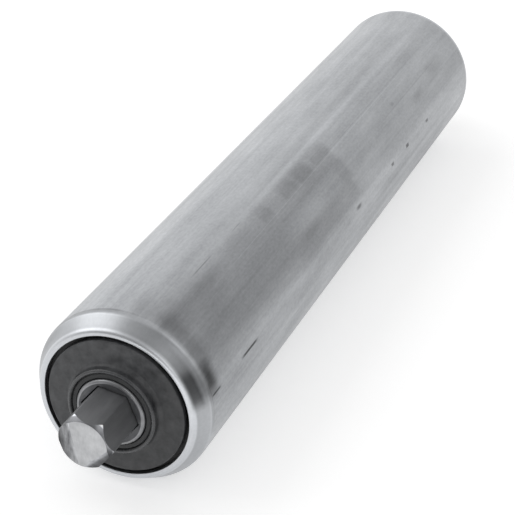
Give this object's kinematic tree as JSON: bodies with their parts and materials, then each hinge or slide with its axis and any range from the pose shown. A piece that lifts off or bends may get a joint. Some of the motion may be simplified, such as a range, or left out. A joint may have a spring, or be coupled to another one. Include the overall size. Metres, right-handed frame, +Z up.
{
  "type": "conveyor roller",
  "caption": "Gravity conveyor roller with a galvanised steel tube, sealed ball bearings in its rolled-over ends and a spring-loaded hexagonal axle.",
  "frame": {"origin": "middle of the roller, on its axis", "axes": "+X along the roller towards the spring end, +Z up with the roller level as it is mounted"},
  "size_m": [0.3564, 0.0634, 0.0636],
  "materials": {
    "galvanised_steel": "galvanised, drawn along its length",
    "axle_steel": "cold-drawn, dull",
    "sleeve_steel": "turned",
    "bearing_steel": "ground",
    "sheet_steel": "pressed",
    "zinc_steel": "zinc plated",
    "pin_steel": "rolled",
    "spring_steel": "drawn wire",
    "cap_plastic": "moulded, matt",
    "housing_plastic": "moulded, matt",
    "cage_plastic": "moulded",
    "seal_rubber": "matt"
  },
  "bodies": {
    "axle": {"axle": "axle_steel", "stop_washer": "zinc_steel", "stop_pin": "pin_steel", "spring_washer": "zinc_steel", "spring_pin": "pin_steel", "spring": "spring_steel"},
    "core": {"left_sleeve": "sleeve_steel", "left_inner_ring": "bearing_steel", "right_sleeve": "sleeve_steel", "right_inner_ring": "bearing_steel", "spring_seat": "zinc_steel"},
    "roller": {"tube": "galvanised_steel", "left_cap": "cap_plastic", "left_seal": "seal_rubber", "left_housing": "housing_plastic", "left_outer_ring": "bearing_steel", "left_outboard_shield": "sheet_steel", "left_inboard_shield": "sheet_steel", "right_cap": "cap_plastic", "right_seal": "seal_rubber", "right_housing": "housing_plastic", "right_outer_ring": "bearing_steel", "right_outboard_shield": "sheet_steel", "right_inboard_shield": "sheet_steel"},
    "left_ball_set": {"left_balls": "bearing_steel", "left_cage": "cage_plastic"},
    "right_ball_set": {"right_balls": "bearing_steel", "right_cage": "cage_plastic"}
  },
  "joints": [
    {"name": "axle_slide", "type": "slide", "parent": "axle", "child": "core", "axis": [-1, 0, 0], "range_m": [0, 0.017], "stiffness_N_per_m": 1060, "springref_m": -0.018, "deforming": ["spring"]},
    {"name": "tube_spin", "type": "hinge", "parent": "core", "child": "roller", "pos_m": [0, 0, 0], "axis": [1, 0, 0], "continuous": true},
    {"name": "left_balls_roll", "type": "hinge", "parent": "core", "child": "left_ball_set", "pos_m": [-0.1395, 0, 0], "axis": [1, 0, 0], "continuous": true},
    {"name": "right_balls_roll", "type": "hinge", "parent": "core", "child": "right_ball_set", "pos_m": [0.1395, 0, 0], "axis": [1, 0, 0], "continuous": true}
  ],
  "couplings": [
    {"joint": "left_balls_roll", "follows": "tube_spin", "ratio": 0.6031},
    {"joint": "right_balls_roll", "follows": "tube_spin", "ratio": 0.6031}
  ]
}
